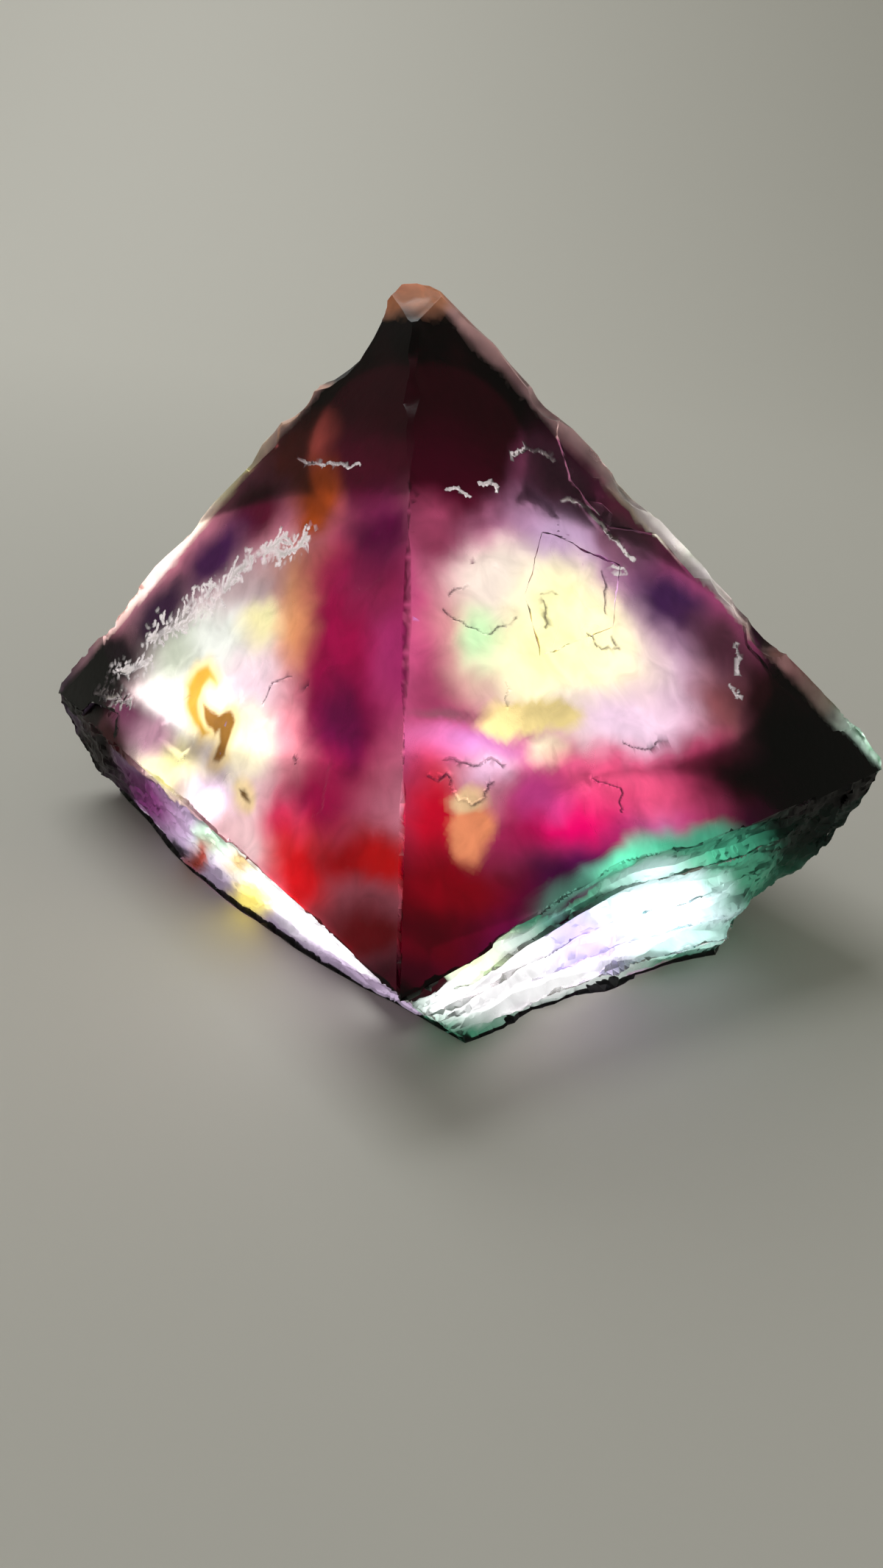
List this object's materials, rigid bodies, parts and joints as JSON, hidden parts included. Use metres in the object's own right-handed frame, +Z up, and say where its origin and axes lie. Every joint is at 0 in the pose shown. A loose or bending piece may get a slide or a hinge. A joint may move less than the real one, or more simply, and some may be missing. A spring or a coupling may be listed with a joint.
{
  "type": "fluorite octahedron",
  "caption": "Cleaved octahedral crystal of zoned fluorite, clear to dark, with chipped edges and rough stepped lower walls, leaning a little on a flat break.",
  "frame": {"origin": "centre of the bounding box at the height of the flat break that the crystal stands on", "axes": "+Z up, out of the flat break towards the top corner; +X from the left side corner to the right one, the longest extent; -Y towards the ridge between the two front faces"},
  "size_m": [0.1276, 0.1236, 0.0841],
  "materials": {
    "fluorite": "polished cleavage faces, rough on the breaks"
  },
  "bodies": {
    "root": {"fluorite_octahedron": "fluorite"}
  },
  "joints": []
}
